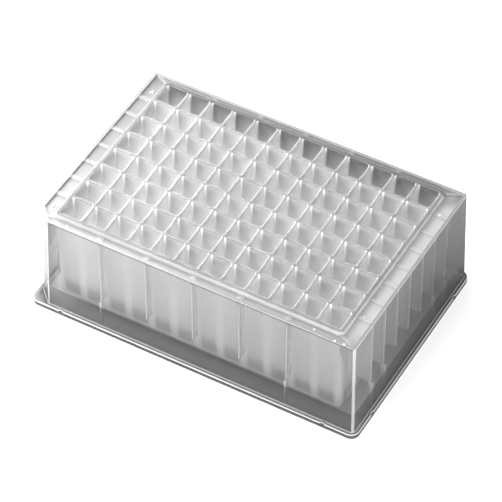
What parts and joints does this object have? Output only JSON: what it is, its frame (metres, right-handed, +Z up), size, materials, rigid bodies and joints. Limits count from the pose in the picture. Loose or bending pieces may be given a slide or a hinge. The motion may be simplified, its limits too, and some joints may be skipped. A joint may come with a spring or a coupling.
{
  "type": "deep well plate",
  "caption": "Clear one-piece laboratory plate with a grid of deep square wells in a skirted, flanged body, for storing and handling samples",
  "frame": {"origin": "centre of the footprint, on the surface the plate stands on", "axes": "+X runs along the long side from column 1 to column 12, +Y along the short side from row H to row A, +Z up out of the wells"},
  "size_m": [0.1278, 0.0854, 0.044],
  "materials": {
    "clear_plastic": "natural translucent polypropylene, milky in the thick well block and nearly clear in the thin skirt, smooth moulded gloss with faint flow haze"
  },
  "bodies": {
    "root": {"plate": "clear_plastic"}
  },
  "joints": []
}
